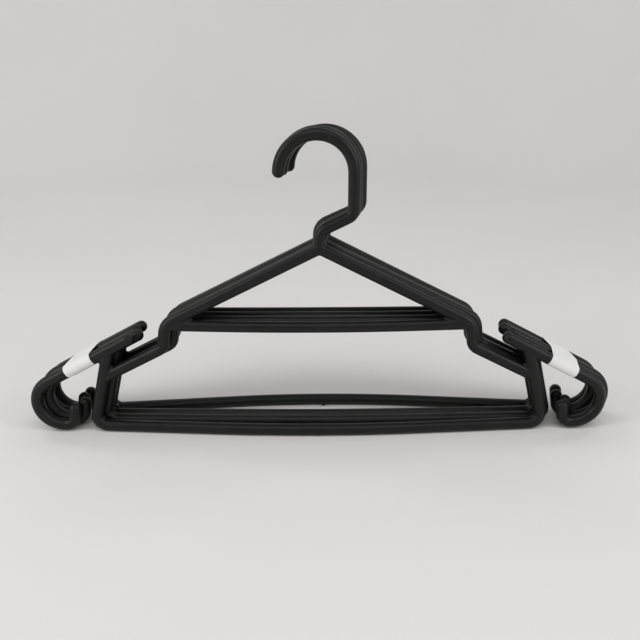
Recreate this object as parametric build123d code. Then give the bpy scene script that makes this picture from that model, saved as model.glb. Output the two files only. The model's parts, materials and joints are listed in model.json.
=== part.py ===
from build123d import *
import os
from collections import namedtuple
from math import cos, radians, sin, tan

# A banded pack of four one-piece moulded clothes hangers, nested front to back.
# Millimetres. +Z is up, +X is across the shoulders, and -Y is the front of the pack.
# The hangers stand on their bottom bars at Z = 0, and the pack is centred on X = 0, Y = 0.

# ---- the moulded rods ----
rod_d = 8.2                 # the end hooks' rod, the thickest
rod_step = 0.1              # the frame, arm and hook rods are each this much thinner than the last
frame_rod_d = rod_d - rod_step          # side posts and bottom bar
arm_rod_d = frame_rod_d - rod_step      # shoulder arms and lower arms
hook_rod_d = arm_rod_d - rod_step       # neck and top hook
crossbar_step = 0.4         # the crossbar is this much thinner than the arms it joins
crossbar_d = arm_rod_d - crossbar_step
junction_fillet = 1.2       # where one rod runs into another
nest_clearance = 0.05       # air between one hanger's rods and the next one's
nest_pitch = rod_d + nest_clearance

# ---- one hanger, as centrelines seen from the front; the left half mirrors the right ----
apex_z = 131.0              # where both shoulder arms meet the neck
apex_bend = 6.0
shoulder_x = 102.0          # outer end of the sloping shoulder arm
shoulder_z = 79.5
shoulder_bend = 11.0
notch_out = 2.5             # the short step under the shoulder ends this much further out
notch_drop = 17.0           # and this much lower
notch_bend = 7.0
foot_x = 157.0              # bottom corner, where the side post meets the bottom bar
foot_bend = 7.0
post_lean = 15.0            # the post's top is this much further in than the foot
post_top_z = 61.0           # T-junction of the side post and the end hook's rod
lower_arm_drop = 20.5       # height from the T-junction down to where the lower arm joins the post

# ---- end hook: strap stub, shank and curl, on one sloping line ----
end_hook_slope = 28.0       # degrees below horizontal
stub_length = 16.0          # inwards from the T-junction, over the strap slot
shank_length = 50.0         # outwards from the T-junction
curl_radius = 17.5
curl_turn = 155.0
tip_bend_radius = 6.5
tip_bend_turn = 78.0
tip_length = 7.0

# ---- top hook ----
neck_height = 11.0          # short upright neck over the apex
neck_bend = 9.0
hook_set_over = 22.5        # from the neck's axis across to the upright shank
elbow_rise = 10.5           # from the neck's top up to the elbow
elbow_bend = 6.5
hook_shank_height = 26.0    # from the elbow up to the round hook's centre
hook_radius = 23.5
hook_turn = 177.0

# ---- bowed bars: straight runs with a rounded middle ----
bow_rounding = 70.0         # half the length of the rounded middle

# ---- moulding gate left under the middle of each bottom bar ----
gate_d = 1.8
gate_angle = 52.0           # degrees from straight down, towards the front

# ---- paper bands round the shanks of the end hooks ----
band_width = 22.0
band_thickness = 0.4
band_clearance = 0.25       # air between the paper and the rods

# How each hanger lies in the pack. shift moves it across the pack. apex_lean and hook_lean move
# its apex and its top hook further across. The bows bend its bottom bar and crossbar out of its
# plane, + towards the back. gate is how far the stub of its gate, torn off unevenly, stands out.
Hanger = namedtuple("Hanger", "name shift apex_lean hook_lean bottom_bow crossbar_bow gate")
hangers = [
    Hanger("hanger_rear", 1.5, 1.5, 2.8, 12.2, -1.5, 1.2),
    Hanger("hanger_second", -0.6, -0.3, 0.6, -3.6, -2.0, 0.5),
    Hanger("hanger_third", 2.8, -1.8, -2.2, -3.75, -2.5, 0.4),
    Hanger("hanger_front", -1.9, 1.3, 0.7, -8.5, -4.5, 0.2),
]

# side is +1 on the right. gap is from the side posts' outer flank to the band's inner edge.
Band = namedtuple("Band", "name side gap")
bands = [Band("band_left", -1, 0.3), Band("band_right", 1, 0.7)]

post_top_x = foot_x - post_lean
slope = radians(end_hook_slope)


def in_plane(points):
    """Turn (x, z) pairs into points of the hanger's own plane, Y = 0."""
    return [Vector(x, 0, z) for x, z in points]


def mirrored(points):
    return [(-x, z) for x, z in points]


def bend_middle(before, corner, after, radius):
    """The middle of the arc that rounds a corner, where a rod that branches off it starts."""
    before, corner, after = in_plane([before, corner, after])
    incoming = (before - corner).normalized()
    outgoing = (after - corner).normalized()
    half_angle = radians(incoming.get_angle(outgoing)) / 2
    return corner + (incoming + outgoing).normalized() * radius * (1 / sin(half_angle) - 1)


def rod(path, diameter):
    """A round rod along a path, with its ends cut square."""
    start = Plane(origin=path @ 0, z_dir=path % 0)
    return sweep(start * Circle(diameter / 2), path=path)


def ball(point, diameter):
    """A rounded rod end."""
    return Pos(point) * Sphere(diameter / 2)


def bow_corner(half_length, bow):
    """Stand-off of the corner whose rounded middle stands off by bow."""
    return bow / (1 - bow_rounding / (2 * half_length))


def bow_radius(half_length, bow):
    """Radius of that rounded middle."""
    return bow_rounding * half_length / abs(bow_corner(half_length, bow))


def bottom_frame(hanger):
    """Both side posts and the bottom bar: one rod bent at the two feet, bowed in its middle."""
    foot_z = frame_rod_d / 2
    left_half = [Vector(-post_top_x, 0, post_top_z), Vector(-foot_x, 0, foot_z)]
    middle = Vector(0, bow_corner(foot_x, hanger.bottom_bow), foot_z)
    right_half = [Vector(foot_x, 0, foot_z), Vector(post_top_x, 0, post_top_z)]
    bends = [foot_bend, bow_radius(foot_x, hanger.bottom_bow), foot_bend]
    return rod(FilletPolyline(*left_half, middle, *right_half, radius=bends), frame_rod_d)


def arm_corners(hanger):
    """Half of the shoulder arms' corners, from the post to the apex."""
    share = lower_arm_drop / (post_top_z - frame_rod_d / 2)
    joint = (post_top_x + post_lean * share, post_top_z - lower_arm_drop)
    notch = (shoulder_x + notch_out, shoulder_z - notch_drop)
    return [joint, notch, (shoulder_x, shoulder_z), (hanger.apex_lean, apex_z)]


def shoulder_arms(hanger):
    """From post to post over the apex: lower arm, notch, shoulder arm, and down again."""
    *right_half, apex = arm_corners(hanger)
    points = mirrored(right_half) + [apex] + right_half[::-1]
    bends = [notch_bend, shoulder_bend, apex_bend, shoulder_bend, notch_bend]
    return rod(FilletPolyline(*in_plane(points), radius=bends), arm_rod_d)


def crossbar(hanger):
    """The bar between the shoulders."""
    end = bend_middle(*arm_corners(hanger)[1:], shoulder_bend)
    middle = Vector(0, bow_corner(end.X, hanger.crossbar_bow), end.Z)
    radius = bow_radius(end.X, hanger.crossbar_bow)
    path = FilletPolyline(Vector(-end.X, 0, end.Z), middle, end, radius=radius)
    return rod(path, crossbar_d)


def top_hook(hanger):
    """Neck, slanting elbow, upright shank and the open round hook, ending in a ball."""
    shoulder, apex = arm_corners(hanger)[2:]
    root = bend_middle(*mirrored([shoulder]), apex, shoulder, apex_bend)
    neck_top = apex_z + neck_height
    elbow = (hook_set_over + hanger.hook_lean, neck_top + elbow_rise)
    crown_start = (elbow[0], elbow[1] + hook_shank_height)
    points = [(root.X, root.Z), (root.X, neck_top), elbow, crown_start]
    stem = FilletPolyline(*in_plane(points), radius=[neck_bend, elbow_bend])
    crown = Plane.XZ * JernArc(crown_start, (0, 1), hook_radius, hook_turn)
    return rod(Wire(stem.edges() + crown.edges()), hook_rod_d) + ball(crown @ 1, hook_rod_d)


def shank_point(distance):
    """A point on the right end hook's sloping line, measured outwards from the T-junction."""
    return (post_top_x + distance * cos(slope), post_top_z - distance * sin(slope))


def end_hook():
    """The right end hook: inner stub, shank, open curl and upturned tip, with round ends."""
    inner = shank_point(-stub_length)
    outer = shank_point(shank_length)
    straight = Line(*in_plane([inner, outer]))
    curl = JernArc(outer, (cos(slope), -sin(slope)), curl_radius, -curl_turn)
    bend = JernArc(curl @ 1, curl % 1, tip_bend_radius, -tip_bend_turn)
    tip = Line(bend @ 1, bend @ 1 + (bend % 1) * tip_length)
    curved = [edge for part in (curl, bend, tip) for edge in (Plane.XZ * part).edges()]
    path = Wire(straight.edges() + curved)
    return rod(path, rod_d) + ball(path @ 0, rod_d) + ball(path @ 1, rod_d)


def gate_mark(hanger):
    """The trimmed moulding gate on the bottom bar's underside."""
    angle = radians(gate_angle)
    outward = Vector(0, -sin(angle), -cos(angle))
    root = Plane(origin=Vector(0, hanger.bottom_bow, frame_rod_d / 2), z_dir=outward)
    length = frame_rod_d / 2 + hanger.gate
    from_root = (Align.CENTER, Align.CENTER, Align.MIN)
    return root * Cylinder(gate_d / 2, length, align=from_root)


def make_hanger(hanger):
    """One hanger, still in its own plane. The rods meet in free-form seams, which are filleted."""
    right = end_hook()
    solid = bottom_frame(hanger) + right + mirror(right, about=Plane.YZ)
    solid = solid + shoulder_arms(hanger) + crossbar(hanger) + top_hook(hanger)
    seams = solid.edges().filter_by(GeomType.BSPLINE)
    return fillet(seams, junction_fillet) + gate_mark(hanger)


def flank_distance(depth, outward_shift):
    """Along the shank, from the unshifted T-junction to the furthest shifted post's outer flank,
    at a depth square to the shank's axis."""
    post = Vector(post_lean, 0, frame_rod_d / 2 - post_top_z)
    between = radians(post.get_angle(Vector(cos(slope), 0, -sin(slope))))
    post_depth = depth + outward_shift * sin(slope)
    return (outward_shift * cos(slope) + post_depth / tan(between)
            + frame_rod_d / 2 / sin(between))


def make_band(band):
    """A paper loop, wrapped flat round the four shanks on one side."""
    shifts = [hanger.shift for hanger in hangers]
    middle_shift = (max(shifts) + min(shifts)) / 2
    outward_shift = (max(shifts) - min(shifts)) / 2
    reach = rod_d / 2 + band_clearance
    depth = (len(hangers) - 1) * nest_pitch + 2 * reach
    height = 2 * (outward_shift * sin(slope) + reach)
    x, z = shank_point(flank_distance(height / 2 + band_thickness, outward_shift) + band.gap)
    start = Plane(origin=(band.side * x + middle_shift, 0, z), x_dir=(0, 1, 0),
                  z_dir=(band.side * cos(slope), 0, -sin(slope)))
    corner = rod_d / 2
    inner = RectangleRounded(depth, height, corner)
    outer = RectangleRounded(depth + 2 * band_thickness, height + 2 * band_thickness,
                             corner + band_thickness)
    return extrude(start * (outer - inner), amount=band_width)


def depth_of(index):
    """How far behind the middle of the nest a hanger's plane is."""
    return ((len(hangers) - 1) / 2 - index) * nest_pitch


def centring(pieces):
    """The move that centres the pieces on X = 0 and Y = 0, and stands them on Z = 0."""
    boxes = [piece.bounding_box() for piece in pieces]
    middle_x = (min(box.min.X for box in boxes) + max(box.max.X for box in boxes)) / 2
    middle_y = (min(box.min.Y for box in boxes) + max(box.max.Y for box in boxes)) / 2
    return Pos(-middle_x, -middle_y, -min(box.min.Z for box in boxes))


def main():
    os.makedirs("parts", exist_ok=True)
    pieces = {hanger.name: Pos(hanger.shift, depth_of(index), 0) * make_hanger(hanger)
              for index, hanger in enumerate(hangers)}
    pieces.update({band.name: make_band(band) for band in bands})
    centred = centring(pieces.values())
    for name, piece in pieces.items():
        export_step(centred * piece, f"parts/{name}.step")


main()
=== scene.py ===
import bpy
import json
import math
import random
from collections import namedtuple
from mathutils import Matrix, Vector


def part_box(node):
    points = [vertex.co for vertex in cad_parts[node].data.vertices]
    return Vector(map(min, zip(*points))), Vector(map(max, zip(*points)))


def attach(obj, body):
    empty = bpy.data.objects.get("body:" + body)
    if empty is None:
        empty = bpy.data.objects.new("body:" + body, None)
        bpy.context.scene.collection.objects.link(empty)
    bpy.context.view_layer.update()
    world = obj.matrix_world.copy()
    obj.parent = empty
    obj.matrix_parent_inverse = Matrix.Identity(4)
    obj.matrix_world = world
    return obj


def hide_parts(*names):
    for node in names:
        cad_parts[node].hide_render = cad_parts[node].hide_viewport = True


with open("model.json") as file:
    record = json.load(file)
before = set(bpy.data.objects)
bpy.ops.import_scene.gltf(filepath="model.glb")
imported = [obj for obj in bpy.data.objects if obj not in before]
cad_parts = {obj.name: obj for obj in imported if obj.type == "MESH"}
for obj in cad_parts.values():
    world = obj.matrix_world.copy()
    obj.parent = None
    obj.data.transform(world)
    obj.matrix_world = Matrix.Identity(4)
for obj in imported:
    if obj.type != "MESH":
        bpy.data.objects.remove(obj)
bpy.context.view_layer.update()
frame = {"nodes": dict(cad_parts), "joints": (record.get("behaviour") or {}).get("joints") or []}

MM = 0.001
HANGERS = ["hanger_rear", "hanger_second", "hanger_third", "hanger_front"]
BANDS = ["band_left", "band_right"]

# ---- the nest of rods that the bands go round ----
ROD_RADIUS = 4.1 * MM
NEST_PITCH = 8.25 * MM          # from one hanger's plane to the next one's

# ---- the paper strip of a band ----
PAPER = 0.22 * MM               # thickness
PAPER_GAP = 0.04 * MM           # air between the paper and the rods
STRIP_WIDTH = 21.6 * MM
LAP = 9.0 * MM                  # how far the strip's end laps over its start
LAP_PLACE = 0.30                # where the strip starts, as a share of the way round from the front
LAP_RISE = 4.0 * MM             # length over which the lapped end climbs over the start
RIPPLE = 0.06 * MM              # soft waves along the strip
EDGE_FLARE = 0.10 * MM          # how far the strip's edges stand off
EDGE_WAVER = 0.10 * MM          # unevenness of the cut edges
SLANT = 0.10 * MM               # how far out of square the strip is wound
RIPPLE_LENGTH = 1.1 * MM        # lengths of the strip per radian of each unevenness
FLARE_LENGTH = 2.9 * MM
WAVER_LENGTH = 4.8 * MM
STEPS_AROUND, STEPS_ACROSS = 150, 12
ROD_STEP = 6                    # degrees between the points that stand for a rod

# ---- the camera, which stands in front of the pack and looks a little down ----
FOCAL_RATIO = 1.077             # focal length over picture width
CAMERA_PLACE = Vector((-0.94, -442.2, 245.4)) * MM
CAMERA_PITCH = 20.9
CAMERA_ROLL = 0.32
SENSOR = 36.0

# ---- the studio, in metres and watts ----
FLOOR_FLAT = 1.1                # radius of the flat floor
FLOOR_RISE = 0.7                # radius of the sweep that turns it into a wall
WALL_TOP = 1.6
FLAT_RINGS, SWEEP_RINGS, FLOOR_TURNS = 6, 12, 72
WORLD_STRENGTH = 0.27
WORLD_COLOUR = (1.0, 0.995, 0.99, 1)
WHITE, WARM = (1, 1, 1), (1.0, 0.985, 0.97)
Light = namedtuple("Light", "name place target size power tint")
LIGHTS = [
    Light("left_light", (-0.95, -0.45, 0.55), (0, 0, 0.08), (0.45, 0.8), 5.0, WARM),
    Light("right_light", (0.95, -0.45, 0.55), (0, 0, 0.08), (0.45, 0.8), 4.1, WHITE),
    Light("top_light", (0, -0.5, 0.9), (0, -0.4, 0), (0.8, 0.5), 2.5, WHITE),
    Light("left_wall_light", (-0.8, 0.6, 1.3), (-0.3, 1.6, 0.2), (0.8, 0.5), 4.6, WHITE),
    Light("right_wall_light", (0.8, 0.6, 1.3), (0.3, 1.6, 0.2), (0.8, 0.5), 3.4, WHITE),
]


# ------------------------------------------------------------------ node helpers
class Nodes:
    """Builds a material's node tree with short calls."""

    def __init__(self, name):
        self.material = bpy.data.materials.new(name)
        self.material.use_nodes = True
        self.tree = self.material.node_tree
        self.shader = self.tree.nodes["Principled BSDF"]
        self.place = self.add("ShaderNodeTexCoord").outputs["Object"]

    def add(self, kind, **settings):
        """A new node. A setting is either one of its input sockets or one of its options."""
        node = self.tree.nodes.new(kind)
        for key, value in settings.items():
            if key in node.inputs:
                node.inputs[key].default_value = value
            else:
                setattr(node, key, value)
        return node

    def link(self, source, target):
        self.tree.links.new(source, target)

    def sum(self, first, second):
        node = self.add("ShaderNodeMath", operation="ADD")
        self.link(first, node.inputs[0])
        self.link(second, node.inputs[1])
        return node.outputs[0]

    def noise(self, scale, detail=3.0, rough=0.5):
        node = self.add("ShaderNodeTexNoise", Scale=scale, Detail=detail, Roughness=rough)
        self.link(self.place, node.inputs["Vector"])
        return node.outputs["Fac"]

    def spread(self, noise, low, high):
        """A noise's usual range, 0.3 to 0.7, spread over low to high."""
        node = self.add("ShaderNodeMapRange")
        self.link(noise, node.inputs["Value"])
        for socket, value in (("From Min", 0.3), ("From Max", 0.7), ("To Min", low), ("To Max", high)):
            node.inputs[socket].default_value = value
        return node.outputs["Result"]

    def colours(self, noise, first, second):
        """The base colour, mixed from two by a noise."""
        node = self.add("ShaderNodeMix", data_type="RGBA")
        self.link(self.spread(noise, 0.0, 1.0), node.inputs["Factor"])
        node.inputs["A"].default_value = (*first, 1)
        node.inputs["B"].default_value = (*second, 1)
        self.link(node.outputs["Result"], self.shader.inputs["Base Color"])

    def bump(self, height, distance, strength, below=None):
        node = self.add("ShaderNodeBump", Distance=distance, Strength=strength)
        self.link(height, node.inputs["Height"])
        if below is not None:
            self.link(below, node.inputs["Normal"])
        return node.outputs["Normal"]

    def finish(self, roughness, normal, specular):
        self.link(roughness, self.shader.inputs["Roughness"])
        self.link(normal, self.shader.inputs["Normal"])
        self.shader.inputs["Specular IOR Level"].default_value = specular
        return self.material


# ------------------------------------------------------------------ materials
def plastic():
    """Charcoal moulded polypropylene: satin, with flow mottling, fine grain and faint scuffs."""
    nodes = Nodes("charcoal_plastic")
    mottle = nodes.noise(scale=55.0, detail=4.0)
    grain = nodes.noise(scale=1500.0, detail=2.0)
    ripple = nodes.noise(scale=220.0)
    scuffs = nodes.noise(scale=420.0, detail=8.0, rough=0.75)
    nodes.colours(mottle, first=(0.0058, 0.0066, 0.0061), second=(0.0090, 0.0101, 0.0094))
    roughness = nodes.sum(nodes.spread(scuffs, low=0.29, high=0.43),
                          nodes.spread(mottle, low=0.0, high=0.07))
    waves = nodes.bump(ripple, distance=0.08 * MM, strength=0.7)
    normal = nodes.bump(grain, distance=0.012 * MM, strength=0.5, below=waves)
    return nodes.finish(roughness, normal, specular=0.24)


def paper():
    """Matt white paper tape with fibre grain and slight handling marks."""
    nodes = Nodes("white_paper")
    fibre = nodes.noise(scale=900.0, detail=6.0, rough=0.7)
    cloud = nodes.noise(scale=120.0)
    nodes.colours(cloud, first=(0.76, 0.76, 0.75), second=(0.84, 0.84, 0.83))
    wrinkles = nodes.bump(cloud, distance=0.10 * MM, strength=0.5)
    normal = nodes.bump(fibre, distance=0.02 * MM, strength=0.6, below=wrinkles)
    return nodes.finish(nodes.spread(fibre, low=0.62, high=0.78), normal, specular=0.35)


def floor_material():
    nodes = Nodes("pale_floor")
    tone = nodes.noise(scale=3.0, detail=2.0)
    nodes.colours(tone, first=(0.78, 0.775, 0.765), second=(0.80, 0.795, 0.785))
    nodes.shader.inputs["Roughness"].default_value = 0.75
    nodes.shader.inputs["Specular IOR Level"].default_value = 0.2
    return nodes.material


# ------------------------------------------------------------------ meshes
def new_object(name, vertices, faces, material):
    """A smooth-shaded mesh object in the scene."""
    mesh = bpy.data.meshes.new(name)
    mesh.from_pydata(vertices, [], faces)
    mesh.polygons.foreach_set("use_smooth", [True] * len(mesh.polygons))
    mesh.materials.append(material)
    obj = bpy.data.objects.new(name, mesh)
    bpy.context.scene.collection.objects.link(obj)
    return obj


def dress_hangers():
    """The hangers keep their CAD shape and get the plastic."""
    material = plastic()
    for name in HANGERS:
        for slot in frame["nodes"][name].material_slots:
            slot.material = material


# ------------------------------------------------------------------ the paper bands
def hull(points):
    """Convex hull of 2-D points, anticlockwise from the least first coordinate."""
    points = sorted(set(points))

    def half(sequence):
        out = []
        for p in sequence:
            while len(out) > 1:
                (ax, ay), (bx, by) = out[-2], out[-1]
                if (bx - ax) * (p[1] - ay) - (by - ay) * (p[0] - ax) > 0:
                    break
                out.pop()
            out.append(p)
        return out[:-1]

    return half(points) + half(points[::-1])


def along(loop, distance):
    """The point at a distance along a closed loop, going round again past its end."""
    sides = list(zip(loop, loop[1:] + loop[:1]))
    distance %= sum(math.dist(a, b) for a, b in sides)
    for (ax, ay), (bx, by) in sides:
        length = math.dist((ax, ay), (bx, by))
        if distance <= length:
            share = distance / length
            return ax + (bx - ax) * share, ay + (by - ay) * share
        distance -= length
    return loop[0]


def band_loop(centre, rise):
    """The middle of the paper round four rods, as (y, height) points about the band's centre.
    rise is how far a step along +X is a step up square to the band's axis."""
    reach = ROD_RADIUS + PAPER_GAP + PAPER / 2
    rods = []
    for index, hanger in enumerate(HANGERS):
        low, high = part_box(hanger)
        y = ((len(HANGERS) - 1) / 2 - index) * NEST_PITCH
        rods.append((y, ((low.x + high.x) / 2 - centre.x) * rise))
    heights = [height for _, height in rods]
    middle = (max(heights) + min(heights)) / 2
    angles = [math.radians(degrees) for degrees in range(0, 360, ROD_STEP)]
    return hull([(y + reach * math.cos(angle), height - middle + reach * math.sin(angle))
                 for y, height in rods for angle in angles])


def strip_faces():
    """Quads of a grid whose vertices run across the strip first."""
    row = STEPS_ACROSS + 1
    corners = [i * row + k for i in range(STEPS_AROUND) for k in range(STEPS_ACROSS)]
    return [(a, a + 1, a + row + 1, a + row) for a in corners]


def band_piece(name, material):
    """A strip of paper pulled round the four shanks, its end lapped over its start."""
    axis = Vector(next(joint["axis"] for joint in frame["joints"] if joint["child"] == name))
    depth = Vector((0, 1, 0))
    upward = axis.cross(depth).normalized()
    upward *= math.copysign(1, upward.z)
    low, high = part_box(name)
    centre = (low + high) / 2
    loop = band_loop(centre, upward.x)
    girth = sum(math.dist(a, b) for a, b in zip(loop, loop[1:] + loop[:1]))
    chance = random.Random(name)
    ripple_phase, flare_phase, waver_phase, slant_phase = (chance.uniform(0, math.tau) for _ in range(4))
    vertices = []
    for i in range(STEPS_AROUND + 1):
        run = (girth + LAP) * i / STEPS_AROUND
        y, height = along(loop, LAP_PLACE * girth + run)
        outward = Vector((y, height)).normalized()
        climb = min(1.0, max(0.0, (run - girth + LAP_RISE / 2) / LAP_RISE))
        ripple = max(0.0, RIPPLE * math.sin(run / RIPPLE_LENGTH + ripple_phase))
        for k in range(STEPS_ACROSS + 1):
            share = k / STEPS_ACROSS - 0.5
            flare = EDGE_FLARE * (2 * share) ** 4 * (1 + math.sin(run / FLARE_LENGTH + flare_phase)) / 2
            out = 1.25 * PAPER * climb + ripple + flare
            waver = 2 * share * EDGE_WAVER * math.sin(run / WAVER_LENGTH + waver_phase)
            slant = SLANT * math.sin(math.tau * run / girth + slant_phase)
            vertices.append(centre + depth * (y + outward.x * out) + upward * (height + outward.y * out)
                            + axis * (share * STRIP_WIDTH + waver + slant))
    obj = new_object(name + "_paper", vertices, strip_faces(), material)
    thickness = obj.modifiers.new("paper thickness", "SOLIDIFY")
    thickness.thickness = PAPER
    thickness.offset = 0.0
    smooth = obj.modifiers.new("soft folds", "SUBSURF")
    smooth.levels = smooth.render_levels = 1
    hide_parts(name)
    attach(obj, name)


# ------------------------------------------------------------------ studio
def studio_floor():
    """A round pale floor that sweeps up into a wall all round, well clear of the camera."""
    profile = [(FLOOR_FLAT * k / FLAT_RINGS, 0.0) for k in range(1, FLAT_RINGS)]
    for k in range(SWEEP_RINGS + 1):
        angle = math.pi / 2 * k / SWEEP_RINGS
        profile.append((FLOOR_FLAT + FLOOR_RISE * math.sin(angle), FLOOR_RISE * (1 - math.cos(angle))))
    profile.append((FLOOR_FLAT + FLOOR_RISE, WALL_TOP))
    vertices = [(0, 0, 0)]
    for radius, z in profile:
        for k in range(FLOOR_TURNS):
            angle = math.tau * k / FLOOR_TURNS
            vertices.append((radius * math.cos(angle), radius * math.sin(angle), z))
    faces = [(0, 1 + k, 1 + (k + 1) % FLOOR_TURNS) for k in range(FLOOR_TURNS)]
    for ring in range(len(profile) - 1):
        inner = 1 + ring * FLOOR_TURNS
        outer = inner + FLOOR_TURNS
        for k in range(FLOOR_TURNS):
            after = (k + 1) % FLOOR_TURNS
            faces.append((inner + k, outer + k, outer + after, inner + after))
    new_object("studio_floor", vertices, faces, floor_material())


def soft_light(light):
    data = bpy.data.lights.new(light.name, "AREA")
    data.shape = "RECTANGLE"
    data.size, data.size_y = light.size
    data.energy = light.power
    data.color = light.tint
    obj = bpy.data.objects.new(light.name, data)
    obj.location = light.place
    obj.rotation_mode = "QUATERNION"
    obj.rotation_quaternion = (Vector(light.target) - Vector(light.place)).to_track_quat("-Z", "Y")
    bpy.context.scene.collection.objects.link(obj)


def studio_lights():
    """An even pale surrounding, soft lights from the front, and two on the wall behind."""
    world = bpy.data.worlds.new("studio")
    world.use_nodes = True
    background = world.node_tree.nodes["Background"].inputs
    background["Color"].default_value = WORLD_COLOUR
    background["Strength"].default_value = WORLD_STRENGTH
    bpy.context.scene.world = world
    for light in LIGHTS:
        soft_light(light)


def camera():
    data = bpy.data.cameras.new("camera")
    data.sensor_width = SENSOR
    data.lens = SENSOR * FOCAL_RATIO
    data.clip_start = 0.01
    obj = bpy.data.objects.new("camera", data)
    obj.location = CAMERA_PLACE
    tilt = Matrix.Rotation(math.radians(90 - CAMERA_PITCH), 4, "X")
    roll = Matrix.Rotation(math.radians(-CAMERA_ROLL), 4, "Z")
    obj.rotation_euler = (tilt @ roll).to_euler()
    bpy.context.scene.collection.objects.link(obj)
    bpy.context.scene.camera = obj


def main():
    dress_hangers()
    material = paper()
    for name in BANDS:
        band_piece(name, material)
    studio_floor()
    studio_lights()
    camera()
    bpy.context.scene.view_settings.view_transform = "Standard"


main()
